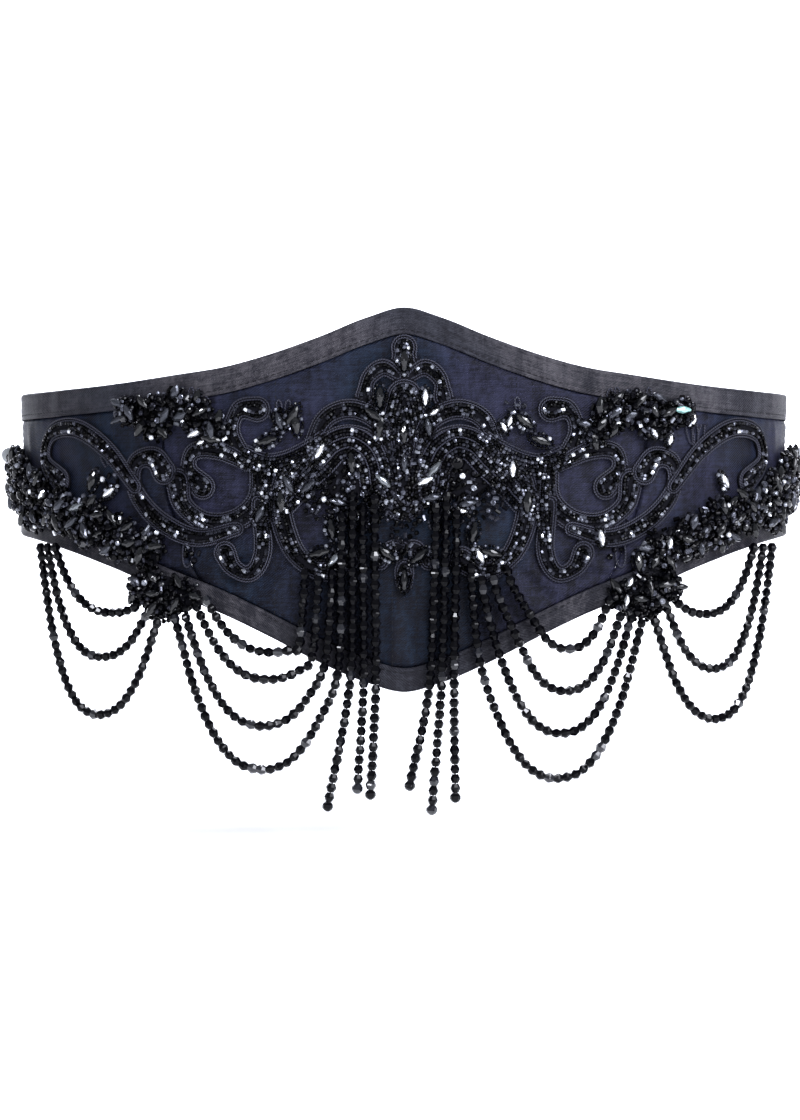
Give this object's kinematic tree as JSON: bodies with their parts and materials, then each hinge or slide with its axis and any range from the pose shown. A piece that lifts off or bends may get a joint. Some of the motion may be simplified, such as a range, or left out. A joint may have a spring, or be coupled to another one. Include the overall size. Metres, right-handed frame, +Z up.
{
  "type": "beaded corset belt",
  "caption": "Wide pointed corset belt in black satin with corded scroll applique, jet stone clusters and strung bead swags, worn round the waist.",
  "frame": {"origin": "centre of the waist ring, at the height of the narrowest waist line", "axes": "+Z up along the wearer, +X to the wearer's left, the pointed front faces -Y"},
  "size_m": [0.285, 0.2021, 0.1673],
  "materials": {
    "navy_black_satin": "black-navy satin twill with a soft sheen",
    "corded_applique": "black cord and cut beads couched on net",
    "jet_stones": "polished opaque black glass",
    "jet_beads": "faceted opaque black glass",
    "black_steel": "black enamelled steel"
  },
  "bodies": {
    "root": {"front_panel": "navy_black_satin", "side_panel_left": "navy_black_satin", "side_panel_right": "navy_black_satin", "back_panel_left": "navy_black_satin", "back_panel_right": "navy_black_satin", "back_placket": "navy_black_satin", "top_band_front": "navy_black_satin", "top_band_back_left": "navy_black_satin", "top_band_back_right": "navy_black_satin", "bottom_band_front": "navy_black_satin", "bottom_band_back_left": "navy_black_satin", "bottom_band_back_right": "navy_black_satin", "applique_centre": "corded_applique", "applique_left": "corded_applique", "applique_right": "corded_applique", "cluster_upper_left": "jet_stones", "cluster_upper_right": "jet_stones", "cluster_side_left": "jet_stones", "cluster_side_right": "jet_stones", "cluster_drop_left": "jet_stones", "cluster_drop_right": "jet_stones", "fringe_left": "jet_beads", "fringe_right": "jet_beads", "swags_left": "jet_beads", "swags_right": "jet_beads", "hook_upper": "black_steel", "hook_middle": "black_steel", "hook_lower": "black_steel", "bar_upper": "black_steel", "bar_middle": "black_steel", "bar_lower": "black_steel"}
  },
  "joints": []
}
